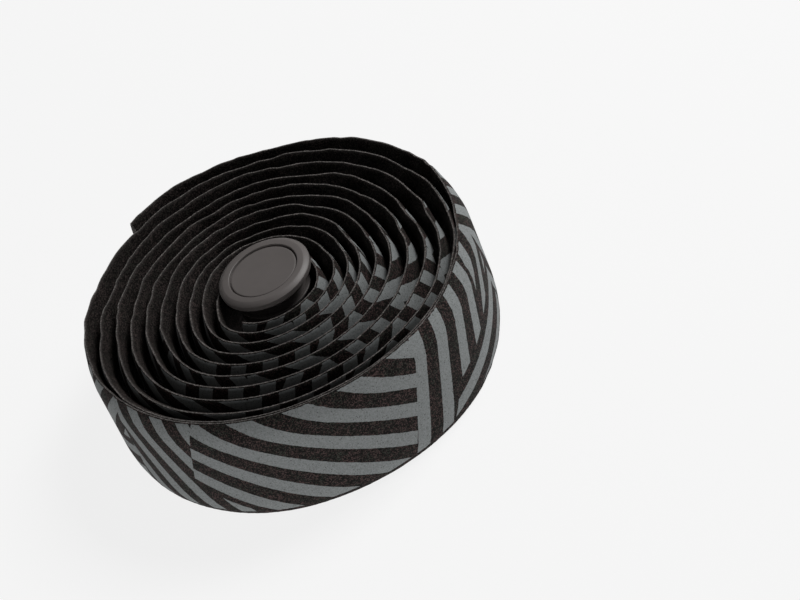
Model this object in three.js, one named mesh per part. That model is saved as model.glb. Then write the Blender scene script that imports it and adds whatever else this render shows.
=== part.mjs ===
// A roll of handlebar tape standing on its end, with the bar-end plug that came with it pushed into the core.
// Millimetres, +Z up. The origin is at the centre of the footprint, on the surface that the roll stands on.
import * as THREE from 'three';

// The tape: a foam strip with both edges bevelled thin on both faces
const tapeWidth = 30;
const tapeThickness = 2.8;
const edgeThickness = 0.6;
const bevelWidth = 6;

// The winding: loose on the outside, tighter towards the core, its radius growing counter-clockwise
const coreRadius = 10.47;
const turns = 10.05;
const innerGap = 0.53;
const outerGap = 1.71;
const outerEndAngle = THREE.MathUtils.degToRad(120);
const stripStep = 2.85;
const samplesPerTurn = 400;

// The plug: a round cap with a shallow recess in its face, and a hollow shank with flexible ring fins
const plugOffset = 0.35;
const plugOffsetAngle = THREE.MathUtils.degToRad(180);
const capRadius = 11.7;
const capHeight = 2.1;
const capStandOff = 0.6;
const capBevelWidth = 1.25;
const capBevelDrop = 0.7;
const capCornerRadius = 0.3;
const recessMargin = 1.8;
const recessDepth = 0.4;
const recessDraft = 0.1;
const shankLength = 14;
const shankWall = 1.5;
const shankLeadIn = 0.8;
const finCount = 4;
const finHeight = 1.25;
const finRoot = 1.2;
const finTip = 0.5;
const finRise = 0.4;
const finClearance = 0.3;
const hollowFloor = 1.4;
const plugSegments = 56;
const cornerSegments = 3;

// Winding radii, in turns outwards from the inner end
const innerPitch = tapeThickness + innerGap;
const outerPitch = tapeThickness + outerGap;
const pitchGrowth = (outerPitch - innerPitch) / turns;
const innerEndAngle = outerEndAngle - 2 * Math.PI * turns;

function middleRadius(turn) {
  return coreRadius + tapeThickness / 2 + innerPitch * turn + pitchGrowth * turn * turn / 2;
}

// The line that the middle of the strip follows, from the inner end to the outer one
class WindingCurve extends THREE.Curve {
  getPoint(share, target = new THREE.Vector3()) {
    const turn = share * turns;
    const angle = innerEndAngle + 2 * Math.PI * turn;
    const radius = middleRadius(turn);
    return target.set(radius * Math.cos(angle), radius * Math.sin(angle), tapeWidth / 2);
  }
}

// The strip's cross-section, lying on its side: its width along X and its thickness along Y
function stripSection() {
  const halfWidth = tapeWidth / 2;
  const halfFace = halfWidth - bevelWidth;
  const section = new THREE.Shape();
  section.moveTo(-halfWidth, -edgeThickness / 2);
  section.lineTo(-halfFace, -tapeThickness / 2);
  section.lineTo(halfFace, -tapeThickness / 2);
  section.lineTo(halfWidth, -edgeThickness / 2);
  section.lineTo(halfWidth, edgeThickness / 2);
  section.lineTo(halfFace, tapeThickness / 2);
  section.lineTo(-halfFace, tapeThickness / 2);
  section.lineTo(-halfWidth, edgeThickness / 2);
  section.closePath();
  return section;
}

function tapeGeometry() {
  const winding = new WindingCurve();
  winding.arcLengthDivisions = Math.ceil(turns * samplesPerTurn);
  const steps = Math.round(winding.getLength() / stripStep);
  return new THREE.ExtrudeGeometry(stripSection(), { steps, extrudePath: winding });
}

// The plug was pushed in by hand, so it stands a little off the winding's axis
const plugCentre = new THREE.Vector2(
  plugOffset * Math.cos(plugOffsetAngle),
  plugOffset * Math.sin(plugOffsetAngle),
);

// The largest radius round the plug's axis that stays inside the innermost turn's middle line
function middleReach() {
  const point = new THREE.Vector2();
  let reach = Infinity;
  for (let i = 0; i <= samplesPerTurn; i += 1) {
    const turn = i / samplesPerTurn;
    const angle = innerEndAngle + 2 * Math.PI * turn;
    point.set(middleRadius(turn) * Math.cos(angle), middleRadius(turn) * Math.sin(angle));
    reach = Math.min(reach, point.distanceTo(plugCentre));
  }
  return reach;
}

// The cap lies over the lips of the innermost turn, and the fins reach nearly to that turn's face
const capFaceRadius = capRadius - capBevelWidth;
const recessRadius = capFaceRadius - recessMargin;
const finRadius = middleReach() - tapeThickness / 2 - finClearance;
const shankRadius = finRadius - finHeight;
const hollowRadius = shankRadius - shankWall;
const capUnderside = tapeWidth + capStandOff;
const finPitch = (shankLength - shankLeadIn - finRoot) / finCount;

function addCap(outline) {
  const top = capHeight;
  outline.moveTo(0, top - recessDepth);
  outline.lineTo(recessRadius - recessDraft, top - recessDepth);
  outline.lineTo(recessRadius, top);
  outline.lineTo(capFaceRadius, top);
  outline.lineTo(capRadius - capCornerRadius / 2, top - capBevelDrop);
  outline.quadraticCurveTo(capRadius, top - capBevelDrop - capCornerRadius / 2,
    capRadius, top - capBevelDrop - capCornerRadius);
  outline.lineTo(capRadius, capCornerRadius);
  outline.quadraticCurveTo(capRadius, 0, capRadius - capCornerRadius, 0);
  outline.lineTo(shankRadius, 0);
}

// Each fin leans up towards the cap, so that it yields going in and bites coming out
function addFin(outline, rootTop) {
  outline.lineTo(shankRadius, rootTop);
  outline.lineTo(finRadius, rootTop + finRise);
  outline.lineTo(finRadius, rootTop + finRise - finTip);
  outline.lineTo(shankRadius, rootTop - finRoot);
}

function addShank(outline) {
  for (let i = 0; i < finCount; i += 1) {
    addFin(outline, -finPitch * (i + 1) + finRoot);
  }
  outline.lineTo(shankRadius, shankLeadIn - shankLength);
  outline.lineTo(shankRadius - shankLeadIn / 2, -shankLength);
  outline.lineTo(hollowRadius, -shankLength);
  outline.lineTo(hollowRadius, -hollowFloor);
  outline.lineTo(0, -hollowFloor);
}

// Half the plug's section, with the cap's underside at height zero, turned once round its axis
function plugGeometry() {
  const outline = new THREE.Path();
  addCap(outline);
  addShank(outline);
  const profile = outline.getPoints(cornerSegments).reverse();
  const geometry = new THREE.LatheGeometry(profile, plugSegments);
  geometry.rotateX(Math.PI / 2);
  return geometry;
}

function namedMesh(name, geometry, color, roughness) {
  const material = new THREE.MeshStandardMaterial({ color, roughness, metalness: 0 });
  const mesh = new THREE.Mesh(geometry, material);
  mesh.name = name;
  return mesh;
}

const tapeRoll = namedMesh('tape_roll', tapeGeometry(), 0x2b2827, 0.9);

const endPlug = namedMesh('end_plug', plugGeometry(), 0x55514f, 0.6);
endPlug.position.set(plugCentre.x, plugCentre.y, capUnderside);

// The winding's axis stands off the origin, so that the footprint is centred on it
const roll = new THREE.Group();
roll.add(tapeRoll, endPlug);
const footprint = new THREE.Box3().setFromObject(roll).getCenter(new THREE.Vector3());
roll.position.set(-footprint.x, -footprint.y, 0);

export default roll;
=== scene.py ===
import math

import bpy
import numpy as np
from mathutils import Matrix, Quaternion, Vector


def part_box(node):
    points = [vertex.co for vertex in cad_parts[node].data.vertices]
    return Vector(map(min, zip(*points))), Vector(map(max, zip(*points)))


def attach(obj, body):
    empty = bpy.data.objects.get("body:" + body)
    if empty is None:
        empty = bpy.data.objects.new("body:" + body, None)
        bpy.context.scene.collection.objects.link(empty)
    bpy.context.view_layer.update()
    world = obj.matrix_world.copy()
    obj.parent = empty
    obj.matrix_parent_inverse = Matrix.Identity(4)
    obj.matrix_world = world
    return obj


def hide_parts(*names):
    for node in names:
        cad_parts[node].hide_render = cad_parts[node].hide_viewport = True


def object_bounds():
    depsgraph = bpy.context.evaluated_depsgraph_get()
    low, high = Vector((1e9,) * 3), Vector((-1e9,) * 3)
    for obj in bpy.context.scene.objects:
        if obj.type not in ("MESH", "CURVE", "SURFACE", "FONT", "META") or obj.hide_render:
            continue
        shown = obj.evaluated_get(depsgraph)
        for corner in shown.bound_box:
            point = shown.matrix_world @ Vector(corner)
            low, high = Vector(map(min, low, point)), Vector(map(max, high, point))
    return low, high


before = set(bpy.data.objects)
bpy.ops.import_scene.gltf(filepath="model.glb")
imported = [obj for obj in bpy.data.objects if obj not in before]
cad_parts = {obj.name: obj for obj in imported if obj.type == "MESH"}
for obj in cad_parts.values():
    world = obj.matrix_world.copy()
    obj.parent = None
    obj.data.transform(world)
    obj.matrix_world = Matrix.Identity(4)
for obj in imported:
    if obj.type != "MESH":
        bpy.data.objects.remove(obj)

# %% [markdown]
# # A roll of handlebar tape
# The real thing is one strip of foam, 30 mm wide and about two metres long, rolled up with a push-in plug
# in its core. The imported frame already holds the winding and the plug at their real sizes. This lesson gives
# both their finish. Lengths are written in millimetres and become metres through the value MM, because
# Blender works in metres.

MM = 0.001
cad_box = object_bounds()
tape_low, tape_high = (Vector(corner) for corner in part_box("tape_roll"))
plug_low, plug_high = (Vector(corner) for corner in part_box("end_plug"))
tape_width = tape_high.z - tape_low.z
print(f"tape {tape_width / MM:.1f} mm wide, roll {(tape_high.x - tape_low.x) / MM:.1f} mm across")

# %% [markdown]
# ## The winding's law
# Real tape is wound tight on the core and looser outside, so the turns' spacing grows a little with each
# turn. The frame's solid follows one formula. The same few sizes give the path for the detailed strip.
# The winding isn't round, so its axis isn't at the middle of its box. The formula's own box shows how far
# off it is.

# %% Sizes of the strip and of its winding
tape_thickness = 2.8 * MM
lip_thickness = 0.6 * MM
bevel_width = 6 * MM
core_radius = 10.47 * MM
turns = 10.05
inner_pitch = tape_thickness + 0.53 * MM
outer_pitch = tape_thickness + 1.71 * MM
pitch_growth = (outer_pitch - inner_pitch) / turns
outer_end_angle = math.radians(120)
inner_end_angle = outer_end_angle - 2 * math.pi * turns


def middle_radius(turn):
    """Radius of the strip's middle, a number of turns out from its inner end."""
    return core_radius + tape_thickness / 2 + inner_pitch * turn + pitch_growth * turn**2 / 2


# %% Find the winding's axis from the box of its outer face
law_samples = 5000
law_turn = np.linspace(0, turns, law_samples)
law_angle = inner_end_angle + 2 * math.pi * law_turn
outer_face = middle_radius(law_turn) + tape_thickness / 2
face_x, face_y = outer_face * np.cos(law_angle), outer_face * np.sin(law_angle)
box_middle = Vector(((face_x.min() + face_x.max()) / 2, (face_y.min() + face_y.max()) / 2, 0))
winding_axis = (tape_low + tape_high) / 2 - box_middle
print(f"winding axis at {winding_axis.x / MM:.2f}, {winding_axis.y / MM:.2f} mm")

# %% [markdown]
# ## The winding path
# Foam doesn't wind evenly. At the front of this roll the inner turns have slipped outwards and press the
# outer ones together, while the far side stays loose. A table round the roll gives that slip, and two more
# give the outermost turn's dent at the right and the curl of its lip. A few sine waves that drift from turn
# to turn give small bulges. Counted inwards from the outer end, each turn then stays at least its own
# thickness inside the last one. A thin lip can lean out further, until it meets the next lip.

# %% How far each turn would leave the ideal spiral if nothing were in its way
unevenness = [(2, 0.45, 0.4, 0.3), (3, -0.6, 1.9, 0.16), (5, 0.8, 4.0, 0.1)]
innermost_bulge = 0.45
slip_degrees = [10, 160, 170, 180, 190, 200, 210, 218, 230, 248, 280, 310, 320, 330, 340, 350, 360]
slip_heights = [0, 0, 0.3, 1.0, 1.8, 2.9, 4.0, 4.8, 5.3, 5.6, 4.9, 4.0, 3.5, 3.0, 2.2, 1.2, 0.3]
dent_degrees, dent_depths = [30, 310, 330, 345, 360], [0, 0, 0.5, 0.6, 0.3]
curl_degrees, curl_depths = [20, 180, 210, 250, 310, 330, 350], [0, 0, 0.5, 0.8, 0.9, 1.4, 1.2]
softening_shifts = (-6, 0, 6)


def bulge(turn, angle):
    """Waves of (count, drift per turn, phase, height in millimetres), smaller towards the core."""
    waves = sum(height * np.sin(count * angle + drift * turn + phase)
                for count, drift, phase, height in unevenness)
    return waves * MM * (innermost_bulge + (1 - innermost_bulge) * turn / turns)


def round_the_roll(angle, degrees, heights):
    """Heights in millimetres from a table round the roll, softened over a few degrees."""
    readings = [np.interp(np.degrees(angle) + shift, degrees, heights, period=360)
                for shift in softening_shifts]
    return sum(readings) / len(readings) * MM


# %% Where the path runs, counted in turns, and how much of the slip each place takes
steps_per_turn = 480
inner_surplus = 0.65
slip_start, slip_rise = 0.95, 0.2
cap_covers_from = -0.2
covered_turns, covered_shares = [-0.42, -0.3], [1, 0.4]
first_step, last_step = round(turns * steps_per_turn), -round(inner_surplus * steps_per_turn)
path_turn = np.arange(first_step, last_step, -1) / steps_per_turn
path_angle = inner_end_angle + 2 * math.pi * path_turn
path_steps = len(path_turn)
slipping = np.clip((turns - path_turn - slip_start) / slip_rise, 0, 1)
covered_share = np.interp(path_turn, covered_turns, covered_shares)
under_cap = np.where(path_turn < cap_covers_from, covered_share, 1)
slip = round_the_roll(path_angle, slip_degrees, slip_heights)
dent = round_the_roll(path_angle, dent_degrees, dent_depths) * (1 - slipping)
curl = round_the_roll(path_angle, curl_degrees, curl_depths) * (1 - slipping)
print(f"{turns + inner_surplus:.1f} turns, slipped by up to {slip.max() / MM:.1f} mm")

# %% Go inwards from the outer end, and keep each turn clear of the one outside it
turn_clearance = 1.02 * tape_thickness
slipped_radius = middle_radius(path_turn) + bulge(path_turn, path_angle) + slip * slipping * under_cap
wished_radius = slipped_radius - dent
path_radius = wished_radius.copy()
lip_radius = wished_radius - curl
for here in range(steps_per_turn, path_steps):
    outside = here - steps_per_turn
    path_radius[here] = min(wished_radius[here], path_radius[outside] - turn_clearance)
    lip_radius[here] = min(wished_radius[here], lip_radius[outside] - lip_thickness)
print(f"lips lean out by up to {(lip_radius - path_radius).max() / MM:.1f} mm")

# %% Make the path as a curve of short straight steps, from the inner end outwards
path_points = np.stack([
    winding_axis.x + path_radius * np.cos(path_angle),
    winding_axis.y + path_radius * np.sin(path_angle),
    np.full(path_steps, tape_low.z + tape_width / 2),
    np.ones(path_steps),
], axis=1)[::-1]
step_lengths = np.linalg.norm(np.diff(path_points[:, :3], axis=0), axis=1)
path_along = np.concatenate([[0], step_lengths.cumsum()])
tape_length = float(path_along[-1])
path_data = bpy.data.curves.new("winding_path", "CURVE")
path_data.dimensions = "3D"
path_data.twist_mode = "Z_UP"
path_spline = path_data.splines.new("POLY")
path_spline.points.add(path_steps - 1)
path_spline.points.foreach_set("co", path_points.ravel())
winding_path = bpy.data.objects.new("winding_path", path_data)
bpy.context.collection.objects.link(winding_path)
print(f"the strip is {tape_length:.3f} m long")

# %% [markdown]
# ## The flat strip
# A foam tape is made flat, pressed thinner along both edges, printed, and only then rolled. It is modelled in
# that order. A grid is the printed skin, Solidify gives it the foam's thickness, and the rows near the edges
# are squeezed together. The alternative, sweeping a section along the spiral, gives the same form but no flat
# stage to lay out the print on.

# %% A helper that starts each step with nothing selected
def only(piece):
    """Selects one object and makes it the active one."""
    bpy.ops.object.select_all(action="DESELECT")
    piece.select_set(True)
    bpy.context.view_layer.objects.active = piece
    return piece


def read_points(mesh):
    """The mesh's points as rows of three numbers."""
    points = np.empty(len(mesh.vertices) * 3)
    mesh.vertices.foreach_get("co", points)
    return points.reshape(-1, 3)


def write_points(mesh, points):
    """Moves the mesh's points to rows of three numbers."""
    mesh.vertices.foreach_set("co", points.ravel())
    mesh.update()


# %% Lay out the strip: its length along X, its width up Z
step_length = 0.55 * MM
edge_depths = np.array([0, 0.2, 0.7, 1.8, 3.6, 6]) * MM
line_heights = np.concatenate([edge_depths - tape_width / 2, [0], tape_width / 2 - edge_depths[::-1]])
rows_across = len(line_heights) - 1
bpy.ops.object.select_all(action="DESELECT")
bpy.ops.mesh.primitive_grid_add(
    x_subdivisions=round(tape_length / step_length), y_subdivisions=rows_across, size=1, calc_uvs=True,
    rotation=(math.pi / 2, 0, 0), location=(0.5, 0, 0))
tape = only(bpy.context.object)
tape.name = "tape_strip"
tape.data.name = "tape_strip"
bpy.ops.object.transform_apply(location=True, rotation=True, scale=True)
flat = read_points(tape.data)
flat[:, 0] *= tape_length
flat[:, 2] = np.interp(flat[:, 2], np.linspace(-0.5, 0.5, rows_across + 1), line_heights)
write_points(tape.data, flat)
print(f"flat strip with {len(tape.data.polygons)} faces")

# %% Write the print's own coordinates: distance from the outer end, and height, in metres
print_map = tape.data.uv_layers[0]
print_map.name = "print_map"
corner_points = np.empty(len(tape.data.loops), dtype=np.int64)
tape.data.loops.foreach_get("vertex_index", corner_points)
from_outer_end = tape_length - flat[corner_points, 0]
from_lower_edge = flat[corner_points, 2] + tape_width / 2
print_map.data.foreach_set("uv", np.stack([from_outer_end, from_lower_edge], axis=1).ravel())
print(f"print map {from_outer_end.max() / MM:.0f} by {from_lower_edge.max() / MM:.0f} mm")

# %% Give the strip its thickness, with one material each for print, back and cut edge
solidify = tape.modifiers.new("foam", "SOLIDIFY")
solidify.thickness = tape_thickness
solidify.offset = 0
solidify.material_offset = 1
solidify.material_offset_rim = 2
tape_materials = {name: bpy.data.materials.new(name) for name in ("tape_print", "tape_back", "tape_edge_painted_highlight")}
for material in tape_materials.values():
    tape.data.materials.append(material)
only(tape)
bpy.ops.object.modifier_apply(modifier=solidify.name)
print(f"solid strip with {len(tape.data.polygons)} faces")

# %% [markdown]
# ## Bevelled and slightly crumpled edges
# Both edges taper to a thin lip so that wrapped turns overlap smoothly. The lip is soft, so it never stays
# straight: it kinks every centimetre or so. Random heights at uneven steps, joined by straight lines, look
# like those kinks. They are small where the turns have slipped together and hold each other.

# %% Sizes of the edges, and of their kinks as (mean step, height)
rim_depth, rim_share = 0.6 * MM, 0.55
kink_depth, kink_fade = 1.2 * bevel_width, 1.5
crumb_depth, crumb_height = 1 * MM, 0.03 * MM
loose_kinks, slipped_loss = 1.3, 1.15
sway_kinks = [(9 * MM, 0.42 * MM), (3 * MM, 0.14 * MM)]
lift_kinks = [(8 * MM, 0.24 * MM), (2.5 * MM, 0.12 * MM)]
middle_band = 0.01 * MM
kinks = np.random.default_rng(7)


def kinked_line(distance, mean_step, height):
    """Straight lines between random heights at uneven steps along the strip."""
    knot_count = int(2 * tape_length / mean_step)
    knots = np.cumsum(kinks.uniform(0.5, 1.5, size=knot_count) * mean_step) - mean_step
    heights = kinks.uniform(-height, height, size=knot_count)
    return np.interp(distance, knots, heights)


# %% Squeeze the edges
strip = read_points(tape.data)
along, across, up = strip.T
depth = tape_width / 2 - np.abs(up)
taper = np.sin(np.clip(depth / bevel_width, 0, 1) * math.pi / 2)
rounding = rim_share + (1 - rim_share) * np.sqrt(np.clip(depth / rim_depth, 0, 1))
half_thickness = (lip_thickness + (tape_thickness - lip_thickness) * taper) / 2 * rounding
face_offset = np.sign(across) * half_thickness
thinnest, thickest = 2 * half_thickness.min() / MM, 2 * half_thickness.max() / MM
print(f"{thinnest:.2f} mm thick at the very edge and {thickest:.2f} mm in the middle")

# %% Crumple and lean the lips, more where the turns are loose
lip = np.clip(1 - depth / kink_depth, 0, 1) ** kink_fade
crumbs = np.where(depth < crumb_depth, kinks.uniform(-crumb_height, crumb_height, size=len(strip)), 0)
lean = np.interp(along, path_along, (lip_radius - path_radius)[::-1]) * (1 - taper)
looseness = loose_kinks - slipped_loss * np.interp(along, path_along, (slip / slip.max())[::-1])
for side in (1, -1):
    on_side = up * side > 0
    sway = sum(kinked_line(along, *kink) for kink in sway_kinks)
    lift = sum(kinked_line(along, *kink) for kink in lift_kinks)
    strip[on_side, 1] = (face_offset + sway * lip * looseness + crumbs)[on_side]
    strip[on_side, 2] += (lift * lip * looseness + crumbs)[on_side] * (side > 0)
strip[up > 0, 1] -= lean[up > 0]
middle_rows = np.abs(up) < middle_band
strip[middle_rows, 1] = face_offset[middle_rows]
write_points(tape.data, strip)
print(f"kinks on {np.count_nonzero(lip)} of {len(strip)} points")

# %% Roll the strip up along the path
tape_crease = math.radians(38)
wind = tape.modifiers.new("wind", "CURVE")
wind.object = winding_path
wind.deform_axis = "POS_X"
only(tape)
bpy.ops.object.modifier_apply(modifier=wind.name)
bpy.data.objects.remove(winding_path)
bpy.ops.object.mode_set(mode="EDIT")
bpy.ops.mesh.select_all(action="SELECT")
bpy.ops.mesh.normals_make_consistent(inside=False)
bpy.ops.object.mode_set(mode="OBJECT")
bpy.ops.object.shade_smooth_by_angle(angle=tape_crease)
wound = read_points(tape.data)
print("wound roll from", (wound.min(axis=0) / MM).round(1), "to", (wound.max(axis=0) / MM).round(1), "mm")

# %% [markdown]
# ## The plug
# A bar-end plug is one moulding in a firm plastic: a round cap with a bevelled rim, and a hollow shank with
# thin rings that grip the bar. A turned form like this can be lathed from a profile, or drawn out of one ring
# of edges, extruded and scaled ring by ring. The second way is used, because every ring stays in hand while
# the form grows.

# %% Sizes of the cap, read from the frame or measured on the photo
plug_centre = (plug_low + plug_high) / 2
cap_radius = (plug_high.x - plug_low.x) / 2
cap_top = plug_high.z
cap_height = 2.1 * MM
cap_underside = cap_top - cap_height
face_radius = cap_radius - 1.25 * MM
recess_radius = face_radius - 1.6 * MM
recess_depth = 0.3 * MM
groove_depth = 0.8 * MM
corner = 0.1 * MM

# %% Sizes of the shank, whose fins stay just inside the strip's inner end
fin_radius = cap_radius - 2.1 * MM
fin_height = 1.25 * MM
fin_base = 1.2 * MM
fin_rise = 0.4 * MM
fin_count = 4
shank_radius = fin_radius - fin_height
shank_wall = 1.5 * MM
shank_end = plug_low.z
lead_in = 0.8 * MM
hollow_radius = shank_radius - shank_wall
hollow_floor = cap_underside - 1.4 * MM
hollow_chamfer = (0.4 * MM, 0.3 * MM)
fin_pitch = (cap_underside - shank_end - lead_in - fin_base) / fin_count

# %% List the rings from the recess's floor over the rim and down the shank
rings = [
    (recess_radius - 0.85 * MM, cap_top - recess_depth),
    (recess_radius - 0.6 * MM, cap_top - recess_depth),
    (recess_radius - 0.5 * MM, cap_top - recess_depth - 0.05 * MM),
    (recess_radius - 0.3 * MM, cap_top - groove_depth),
    (recess_radius - corner, cap_top - groove_depth),
    (recess_radius, cap_top - 0.08 * MM),
    (recess_radius + corner, cap_top),
    (face_radius - 0.06 * MM, cap_top),
    (face_radius + 0.06 * MM, cap_top - 0.03 * MM),
    (cap_radius - corner, cap_top - 0.65 * MM),
    (cap_radius, cap_top - 0.78 * MM),
    (cap_radius, cap_underside + 0.25 * MM),
    (cap_radius - 0.08 * MM, cap_underside + 0.07 * MM),
    (cap_radius - 0.25 * MM, cap_underside),
    (shank_radius, cap_underside),
]
for fin in range(fin_count):
    fin_top = cap_underside - fin_pitch * (fin + 1) + fin_base
    rings += [
        (shank_radius, fin_top),
        (fin_radius - corner, fin_top + fin_rise),
        (fin_radius, fin_top + fin_rise - corner),
        (fin_radius, fin_top),
        (shank_radius, fin_top - fin_base),
    ]
rings += [
    (shank_radius, shank_end + lead_in),
    (shank_radius - lead_in / 2, shank_end),
    (hollow_radius, shank_end),
    (hollow_radius, hollow_floor - hollow_chamfer[1]),
    (hollow_radius - hollow_chamfer[0], hollow_floor),
]
print(f"{len(rings)} rings, cap {2 * cap_radius / MM:.1f} mm across, fins {2 * fin_radius / MM:.1f} mm")

# %% Draw the plug out ring by ring
plug_segments = 128
first_radius, first_height = rings[0]
bpy.ops.object.select_all(action="DESELECT")
bpy.ops.mesh.primitive_circle_add(
    vertices=plug_segments, radius=first_radius, fill_type="NOTHING",
    location=(plug_centre.x, plug_centre.y, first_height))
plug = only(bpy.context.object)
plug.name = "bar_plug"
plug.data.name = "bar_plug"
bpy.ops.object.transform_apply(location=True, rotation=True, scale=True)
bpy.ops.object.mode_set(mode="EDIT")
bpy.ops.mesh.select_all(action="SELECT")
bpy.ops.mesh.edge_face_add()
bpy.ops.mesh.select_all(action="SELECT")
bpy.ops.mesh.extrude_region_move(TRANSFORM_OT_translate={"value": (0, 0, 0)})
for (last_radius, last_height), (radius, height) in zip(rings, rings[1:]):
    ring_scale = radius / last_radius
    bpy.ops.transform.resize(
        value=(ring_scale, ring_scale, 1), center_override=(plug_centre.x, plug_centre.y, last_height))
    bpy.ops.transform.translate(value=(0, 0, height - last_height))
    if (radius, height) != rings[-1]:
        bpy.ops.mesh.extrude_region_move(TRANSFORM_OT_translate={"value": (0, 0, 0)})
bpy.ops.mesh.select_all(action="SELECT")
bpy.ops.mesh.normals_make_consistent(inside=False)

# %% Lean the plug, as a hand pushed it in: the cap rests on the lips at one side only
cap_lean = math.radians(3)
plug_crease = math.radians(28)
cap_middle = (plug_centre.x, plug_centre.y, cap_underside)
bpy.ops.transform.rotate(value=cap_lean, orient_axis="Y", center_override=cap_middle)
bpy.ops.object.mode_set(mode="OBJECT")
bpy.ops.object.shade_smooth_by_angle(angle=plug_crease)
leaned = read_points(plug.data)
left_edge = leaned[leaned[:, 0].argmin()]
print(f"plug with {len(plug.data.polygons)} faces, the cap's left edge at", (left_edge / MM).round(2), "mm")

# %% [markdown]
# ## Helpers for the materials
# Every finish is a small network of nodes. Three helpers keep them short: one adds a node and fills its
# sockets, one does arithmetic, and one mixes two colours.

# %% Node helpers
def add_node(tree, kind, inputs=None, **settings):
    """Adds a node, sets its properties, and fills or links its sockets by name or number."""
    node = tree.nodes.new("ShaderNode" + kind)
    for name, value in settings.items():
        setattr(node, name, value)
    for socket, value in (inputs or {}).items():
        if isinstance(value, bpy.types.NodeSocket):
            tree.links.new(value, node.inputs[socket])
        else:
            node.inputs[socket].default_value = value
    return node


def calculate(tree, operation, *values):
    """A Math node's result."""
    return add_node(tree, "Math", dict(enumerate(values)), operation=operation).outputs[0]


def mix_colours(tree, factor, first, second):
    """A Mix node's colour. It has sockets for other kinds too: its colours are inputs 6 and 7, output 2."""
    node = add_node(tree, "Mix", {0: factor, 6: first, 7: second}, data_type="RGBA")
    return node.outputs[2]


# %% Noise and ranges, with all their settings in one line
def noise(tree, place, scale, detail, roughness=0.5):
    """Soft random values, at so many waves for each metre."""
    settings = {"Vector": place, "Scale": scale, "Detail": detail, "Roughness": roughness}
    return add_node(tree, "TexNoise", settings)


def cells(tree, place, scale):
    """Three random values for each cell of foam, at so many cells for each metre."""
    cell_colours = add_node(tree, "TexVoronoi", {"Vector": place, "Scale": scale}).outputs["Color"]
    return add_node(tree, "SeparateColor", {0: cell_colours}).outputs


def ramp(tree, value, low, high, top=1.0):
    """0 up to a low value, rising to the top at a high one."""
    settings = {"Value": value, "From Min": low, "From Max": high, "To Max": top}
    return add_node(tree, "MapRange", settings).outputs[0]


def start_material(material, roughness, specular):
    """Empties a material and gives it a Principled shader, with the settings that are the same all over."""
    material.use_nodes = True
    tree = material.node_tree
    tree.nodes.clear()
    shader = add_node(tree, "BsdfPrincipled")
    shader.inputs["Roughness"].default_value = roughness
    shader.inputs["Specular IOR Level"].default_value = specular
    output = add_node(tree, "OutputMaterial")
    tree.links.new(shader.outputs[0], output.inputs[0])
    return tree, shader


def finish_material(tree, shader, colour, relief, strength, distance):
    """Gives the shader its colour, and bumps of a strength and a depth in metres."""
    bump = add_node(tree, "Bump", {"Height": relief, "Strength": strength, "Distance": distance})
    tree.links.new(colour, shader.inputs["Base Color"])
    tree.links.new(bump.outputs[0], shader.inputs["Normal"])
    print(f"a finish of {len(tree.nodes)} nodes")


# %% [markdown]
# ## The printed face
# The outer face is dark foam with matt grey stripes printed on it. The stripes change direction from block to
# block, a plain hatching. The print map holds the distance from the outer end and the height in metres, so
# each block is a stripe wave across those two numbers, and the blocks meet along slanted lines. All of it
# repeats along the tape.

# %% Colours, in linear light
foam_dark = (0.006, 0.0055, 0.005, 1)
foam_red = (0.08, 0.051, 0.049, 1)
foam_green = (0.047, 0.05, 0.041, 1)
print_grey = (0.285, 0.3, 0.3, 1)
print_worn = (0.2, 0.212, 0.212, 1)

# %% Sizes of the hatching, in millimetres
repeat_length = 122.0
unit_start = 119.0
stripe_share = 0.485
print_bottom = 1.2
print_top = 29.8
middle_height = 15.0
raggedness = 0.35
whole_repeats = 10
whole_waves = 1000.0


def hatch_block(direction_degrees, period, anchor_along, anchor_height):
    """Stripes at a slope: the stripe wave's shares of along and of height, and its start at the anchor."""
    slope = math.radians(direction_degrees)
    along_share = -math.sin(slope) / period
    height_share = math.cos(slope) / period
    start = -(along_share * anchor_along + height_share * anchor_height) + stripe_share / 2
    return along_share, height_share, start


long_hatch = hatch_block(33.2, 7.48, 192.32, 13.42)
cross_hatch = hatch_block(108.4, 7.42, 153.4, 17.9)
steep_hatch = hatch_block(62, 6.98, 227.4, 16.4)
border_hatch = hatch_block(-14, 7.0, 136.4, 8.5)
falling_hatch = hatch_block(-50, 6.8, 124.4, 22.5)

# %% Edges of the blocks: across the tape as (lean back, crossing), along it as (climb, point along, height)
cross_start = (0.21, 133.9)
border_end = (0.55, 148.75)
long_start = (0.36, 164.0)
steep_start = (0.31, 220.6)
last_stripe = (0.654, 223.0, 11.0)
border_top = (-0.243, 140.0, 12.28)


def beside_edge(tree, along, height, edge, comparison):
    """1 beside a line that leans back so much for each millimetre up, and crosses the tape's middle there."""
    lean_back, crossing = edge
    upright = calculate(tree, "MULTIPLY_ADD", height, lean_back, along)
    return calculate(tree, comparison, upright, crossing + lean_back * middle_height)


def under_line(tree, along, height, line):
    """1 under a line that climbs so much for each millimetre along, and passes through a point."""
    climb, point_along, point_height = line
    levelled = calculate(tree, "MULTIPLY_ADD", along, -climb, height)
    return calculate(tree, "LESS_THAN", levelled, point_height - climb * point_along)


# %% Stripes as nodes
def stripe_wave(tree, along, height, hatch):
    """0 to 1 across each stripe and its gap."""
    along_share, height_share, start = hatch
    slanted = calculate(tree, "ADD", calculate(tree, "MULTIPLY", along, along_share),
                        calculate(tree, "MULTIPLY", height, height_share))
    return calculate(tree, "FRACT", calculate(tree, "ADD", slanted, start + whole_waves))


def choose(tree, chooser, when_zero, when_one):
    """One of two numbers, as the chooser is 0 or 1."""
    step = calculate(tree, "SUBTRACT", when_one, when_zero)
    return calculate(tree, "MULTIPLY_ADD", step, chooser, when_zero)


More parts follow.
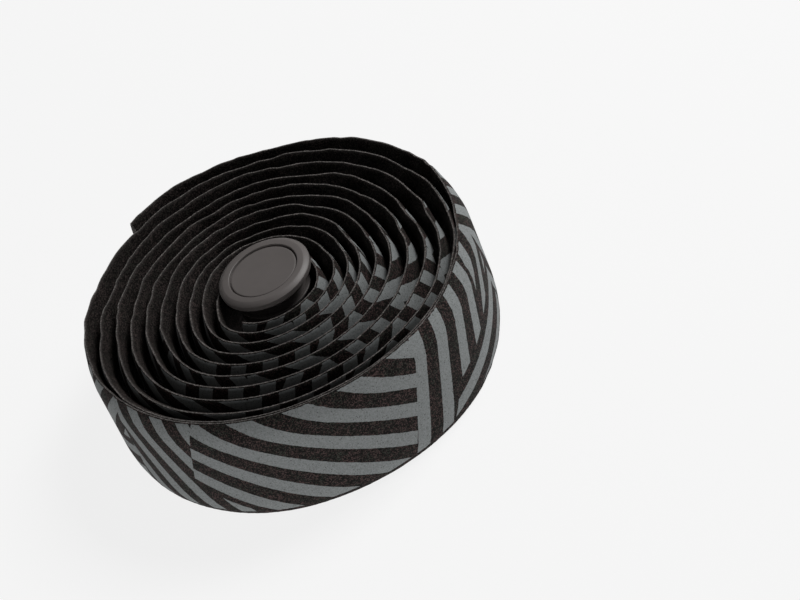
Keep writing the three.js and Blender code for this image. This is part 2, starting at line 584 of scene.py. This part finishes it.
def scaled(tree, vector, factor):
    """A vector times a number."""
    return add_node(tree, "VectorMath", {0: vector, "Scale": factor}, operation="SCALE").outputs[0]


def print_place(tree):
    """Distance and height in millimetres, slightly ragged, with the distance brought into one repeat."""
    coordinates = add_node(tree, "UVMap", uv_map="print_map").outputs[0]
    wobble = noise(tree, coordinates, scale=900.0, detail=2.0).outputs["Color"]
    centred = add_node(tree, "VectorMath", {0: wobble, 1: (0.5, 0.5, 0.5)}, operation="SUBTRACT").outputs[0]
    shift, millimetres = scaled(tree, centred, raggedness), scaled(tree, coordinates, 1 / MM)
    ragged = add_node(tree, "VectorMath", {0: millimetres, 1: shift}, operation="ADD").outputs[0]
    distance, height = add_node(tree, "SeparateXYZ", {0: ragged}).outputs[:2]
    shifted = calculate(tree, "ADD", distance, whole_repeats * repeat_length - unit_start)
    along = calculate(tree, "ADD", calculate(tree, "MODULO", shifted, repeat_length), unit_start)
    return along, height


# %% The mask of the print
def print_mask(tree):
    """1 on the printed stripes and 0 on bare foam."""
    along, height = print_place(tree)
    in_long = beside_edge(tree, along, height, long_start, "GREATER_THAN")
    in_steep = calculate(tree, "MAXIMUM", beside_edge(tree, along, height, steep_start, "GREATER_THAN"),
                         under_line(tree, along, height, last_stripe))
    before_cross = beside_edge(tree, along, height, cross_start, "LESS_THAN")
    in_border = calculate(tree, "MULTIPLY", under_line(tree, along, height, border_top),
                          beside_edge(tree, along, height, border_end, "LESS_THAN"))
    wave = stripe_wave(tree, along, height, cross_hatch)
    for chooser, hatch in ((before_cross, falling_hatch), (in_border, border_hatch),
                           (in_long, long_hatch), (in_steep, steep_hatch)):
        wave = choose(tree, chooser, wave, stripe_wave(tree, along, height, hatch))
    on_stripe = calculate(tree, "LESS_THAN", wave, stripe_share)
    above_bottom = calculate(tree, "GREATER_THAN", height, print_bottom)
    below_top = calculate(tree, "LESS_THAN", height, print_top)
    return calculate(tree, "MULTIPLY", on_stripe, calculate(tree, "MULTIPLY", above_bottom, below_top))


# %% Bare foam: crumbs of cork and rubber, each a shade of its own
crumbs_per_metre = 4200.0
patches_per_metre = 260.0
patch_tint = 0.7


def foam_speckle(tree, place, dark, red, green):
    """Dark foam with crumbs a quarter of a millimetre across, in patches of reddish and greenish ones."""
    shades = cells(tree, place, crumbs_per_metre)
    patches = noise(tree, place, patches_per_metre, detail=1.0).outputs[0]
    tint = calculate(tree, "MULTIPLY_ADD", patches, patch_tint, -patch_tint / 2)
    reddish = ramp(tree, calculate(tree, "ADD", shades[0], tint), 0.62, 0.95)
    greenish = ramp(tree, calculate(tree, "SUBTRACT", shades[1], tint), 0.72, 1.05)
    return mix_colours(tree, greenish, mix_colours(tree, reddish, dark, red), green)


# %% The printed face's material
pinholes_per_metre = 5000.0
pinhole_share = 0.028
pinhole_depth = 0.6
tree, shader = start_material(tape_materials["tape_print"], roughness=0.85, specular=0.15)
mask = print_mask(tree)
place = add_node(tree, "TexCoord").outputs["Object"]
grain = noise(tree, place, scale=2600.0, detail=3.0, roughness=0.7).outputs[0]
foam_colour = foam_speckle(tree, place, foam_dark, foam_red, foam_green)
print_colour = mix_colours(tree, ramp(tree, grain, 0.38, 0.6), print_worn, print_grey)
pinhole = calculate(tree, "GREATER_THAN", cells(tree, place, pinholes_per_metre)[0], 1 - pinhole_share)
pinhole_shade = calculate(tree, "MULTIPLY", pinhole, pinhole_depth)
print_colour = mix_colours(tree, pinhole_shade, print_colour, foam_dark)
surface_colour = mix_colours(tree, mask, foam_colour, print_colour)
finish_material(tree, shader, surface_colour, grain, strength=0.5, distance=0.12 * MM)

# %% [markdown]
# ## The foam back and the cut edge
# The back is bare foam, brown-black and fuzzy, so it swallows light. The cut lip is the same foam seen end
# on, its colours painted paler as a painted highlight: it catches the light as the thin line that draws each
# turn, and the back takes part of that painted highlight along both lips.

# %% Colours of the back, and of the edge painted paler as a painted highlight
back_dark = (0.009, 0.0077, 0.0074, 1)
back_red = (0.063, 0.049, 0.046, 1)
back_green = (0.045, 0.043, 0.037, 1)
# The edge's colours are painted paler than the back's, a painted highlight of the lit lip.
edge_dark_painted_highlight = (0.075, 0.068, 0.065, 1)
edge_red_painted_highlight = (0.23, 0.209, 0.2, 1)
edge_green_painted_highlight = (0.19, 0.183, 0.173, 1)

# %% Materials of the back and the edge
# Width of the band along each lip of the back that is painted paler as a painted highlight.
painted_highlight_width = 0.6 * MM
fuzz_share = 0.6


def painted_highlight_at_lips(tree, painted_highlight_share):
    """0 on most of the strip, rising to the share of painted highlight at both lips."""
    print_coordinates = add_node(tree, "UVMap", uv_map="print_map").outputs[0]
    height_up = add_node(tree, "SeparateXYZ", {0: print_coordinates}).outputs[1]
    from_middle = calculate(tree, "ABSOLUTE", calculate(tree, "SUBTRACT", height_up, tape_width / 2))
    return ramp(tree, from_middle, tape_width / 2 - painted_highlight_width, tape_width / 2, top=painted_highlight_share)


def fill_foam(material, dark, red, green, painted_highlight_share=0.0):
    """Bare foam with bumps of its crumbs and their clumps, painted paler by a share along the lips as a
    painted highlight.
    """
    tree, shader = start_material(material, roughness=0.95, specular=0.08)
    place = add_node(tree, "TexCoord").outputs["Object"]
    fuzz = noise(tree, place, scale=2200.0, detail=4.0, roughness=0.75).outputs[0]
    clumps = noise(tree, place, scale=420.0, detail=2.0).outputs[0]
    relief = calculate(tree, "ADD", calculate(tree, "MULTIPLY", fuzz, fuzz_share),
                       calculate(tree, "MULTIPLY", clumps, 1 - fuzz_share))
    foam = foam_speckle(tree, place, dark, red, green)
    # Mixes the foam toward the edge's paler colour at the lips: a painted highlight.
    foam_colour = mix_colours(tree, painted_highlight_at_lips(tree, painted_highlight_share), foam, edge_dark_painted_highlight)
    finish_material(tree, shader, foam_colour, relief, strength=0.8, distance=0.3 * MM)


# The back takes half of the edge's painted highlight along its lips.
fill_foam(tape_materials["tape_back"], back_dark, back_red, back_green, painted_highlight_share=0.5)
# The cut edge: foam crumbs in colours painted paler, a painted highlight along each lip.
fill_foam(tape_materials["tape_edge_painted_highlight"], edge_dark_painted_highlight, edge_red_painted_highlight, edge_green_painted_highlight)

# %% [markdown]
# ## The plug's plastic
# A moulded plug has a fine spark-eroded texture: it is satin, a shade lighter where it is rubbed, with no
# grain.

# %% Material of the plug
plug_plastic = bpy.data.materials.new("plug_plastic")
plug_dark = (0.124, 0.112, 0.107, 1)
plug_light = (0.167, 0.15, 0.144, 1)
tree, shader = start_material(plug_plastic, roughness=0.5, specular=0.5)
place = add_node(tree, "TexCoord").outputs["Object"]
texture = noise(tree, place, scale=3500.0, detail=2.0).outputs[0]
haze = noise(tree, place, scale=140.0, detail=4.0).outputs[0]
plastic_colour = mix_colours(tree, haze, plug_dark, plug_light)
finish_material(tree, shader, plastic_colour, texture, strength=0.25, distance=0.08 * MM)
plug.data.materials.append(plug_plastic)

# %% [markdown]
# ## The studio
# The photograph has an even pale ground, a large soft light from the right and a weaker one in front. The
# front one is set low, so that each turn keeps its light off the next. The camera looks down on the roll
# from 39 degrees and is turned on its own axis, so the roll seems to lean.

# %% Floor: paper that glows a little, so that it stays even
floor_size = 6.0
paper_grey = (0.12, 0.12, 0.12, 1)
paper_glow = 0.84
white = (1, 1, 1, 1)
bpy.ops.object.select_all(action="DESELECT")
bpy.ops.mesh.primitive_plane_add(size=floor_size, location=(0, 0, cad_box[0][2]))
floor = only(bpy.context.object)
floor.name = "studio_floor"
floor_paper = bpy.data.materials.new("floor_paper")
tree, shader = start_material(floor_paper, roughness=0.9, specular=0.1)
shader.inputs["Base Color"].default_value = paper_grey
shader.inputs["Emission Color"].default_value = white
shader.inputs["Emission Strength"].default_value = paper_glow
floor.data.materials.append(floor_paper)

# %% Light from all round
sky_strength = 0.06
scene = bpy.context.scene
scene.view_settings.view_transform = "Standard"
scene.world = bpy.data.worlds.new("studio")
scene.world.use_nodes = True
background = scene.world.node_tree.nodes["Background"]
background.inputs["Color"].default_value = white
background.inputs["Strength"].default_value = sky_strength


# %% Softboxes, placed in metres, with their power in watts
def add_softbox(name, place, width, power):
    """A square area light that faces the roll."""
    light = bpy.data.lights.new(name, "AREA")
    light.size = width
    light.energy = power
    softbox = bpy.data.objects.new(name, light)
    softbox.location = place
    softbox.rotation_euler = Vector(place).to_track_quat("Z", "Y").to_euler()
    scene.collection.objects.link(softbox)
    print(f"{name}: {power} W from {Vector(place).length:.2f} m")


add_softbox("back_right_softbox", place=(0.62, 0.22, 0.75), width=0.4, power=7.4)
add_softbox("front_softbox", place=(-0.3, -1.0, 0.02), width=0.5, power=2.3)

# %% Camera, as fitted to the photograph
image_width, image_height = 800, 600
focal_pixels = 2600
sensor_width = 36
camera_distance = 634.6 * MM
camera_elevation = math.radians(38.84)
camera_roll = math.radians(25.07)
roll_centre_in_photo = (288.8, 321.6)
camera_data = bpy.data.cameras.new("photo_camera")
camera_data.sensor_width = sensor_width
camera_data.lens = focal_pixels / image_width * sensor_width
camera_data.clip_start = 10 * MM
camera = bpy.data.objects.new("photo_camera", camera_data)
aim = Vector((winding_axis.x, winding_axis.y, tape_low.z + tape_width / 2))
towards_camera = Vector((0, -math.cos(camera_elevation), math.sin(camera_elevation)))
sight_line = Vector((roll_centre_in_photo[0] - image_width / 2, image_height / 2 - roll_centre_in_photo[1],
                     -focal_pixels)).normalized()
swing = Vector((0, 0, -1)).rotation_difference(sight_line)
roll_turn = Quaternion((0, 0, 1), -camera_roll)
camera.rotation_mode = "QUATERNION"
camera.rotation_quaternion = towards_camera.to_track_quat("Z", "Y") @ roll_turn @ swing.inverted()
camera.location = aim + towards_camera * camera_distance
scene.collection.objects.link(camera)
scene.camera = camera
print(f"camera {camera_distance / MM:.0f} mm from the roll, with a lens of {camera_data.lens:.0f} mm")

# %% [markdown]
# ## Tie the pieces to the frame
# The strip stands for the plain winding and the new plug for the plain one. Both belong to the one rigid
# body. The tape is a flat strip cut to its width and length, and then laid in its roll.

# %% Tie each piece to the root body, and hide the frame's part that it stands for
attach(tape, "root")
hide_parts("tape_roll")
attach(plug, "root")
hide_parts("end_plug")
